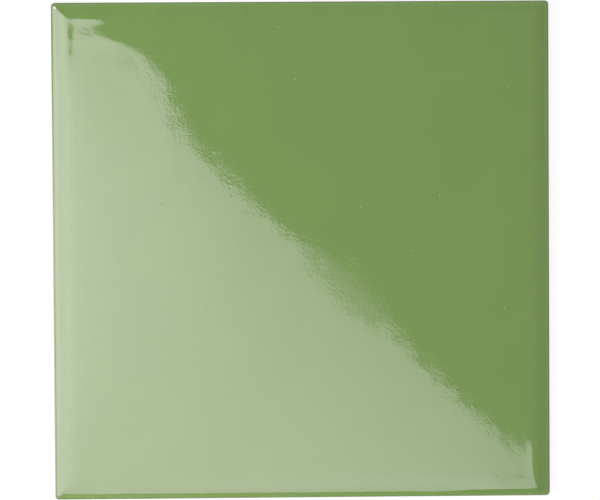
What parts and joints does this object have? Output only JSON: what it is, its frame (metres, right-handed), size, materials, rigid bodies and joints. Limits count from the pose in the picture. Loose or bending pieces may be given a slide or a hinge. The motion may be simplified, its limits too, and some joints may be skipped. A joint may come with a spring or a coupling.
{
  "type": "square floor tile",
  "caption": "Square green glazed ceramic tile with cushioned face edges, softly rounded corners and a waffle back that keys into adhesive.",
  "frame": {"origin": "middle of the back, in the plane of the ribs that lie on the bed", "axes": "+Z out of the glazed face; +X and +Y along the sides, +Y towards the top of the picture"},
  "size_m": [0.15, 0.15, 0.008],
  "materials": {
    "glaze": "glossy green glaze, bare buff body on the lower flank and the back"
  },
  "bodies": {
    "root": {"tile": "glaze"}
  },
  "joints": []
}
